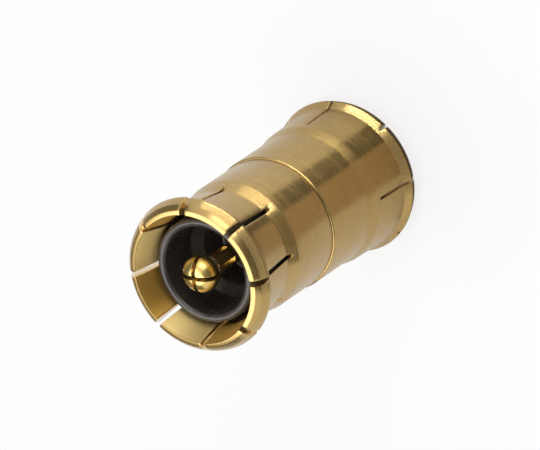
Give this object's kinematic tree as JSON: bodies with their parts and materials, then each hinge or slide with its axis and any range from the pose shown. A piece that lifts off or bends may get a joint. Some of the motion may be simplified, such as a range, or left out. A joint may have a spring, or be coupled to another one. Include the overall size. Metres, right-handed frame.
{
  "type": "coaxial bullet adapter",
  "caption": "Board-to-board coaxial bullet adapter: gold-plated sleeve with slotted flared spring fingers at both ends, black insulator tubes and a cross-slotted domed contact.",
  "frame": {"origin": "centre of the rear rim's end plane, on the axis, where the adapter stands on its rear fingers", "axes": "+Z along the adapter's axis from the rear end to the front end, which is the end the picture looks into; +X through the middle of a slot between two fingers"},
  "size_m": [0.0064, 0.0064, 0.012],
  "materials": {
    "sleeve_gold": "gold plated over turned brass, satin bright",
    "insulator_black": "moulded, semi-gloss black",
    "contact_gold": "gold plated, bright"
  },
  "bodies": {
    "root": {"front_sleeve": "sleeve_gold", "rear_sleeve": "sleeve_gold", "front_insulator": "insulator_black", "rear_insulator": "insulator_black", "centre_contact": "contact_gold"}
  },
  "joints": []
}
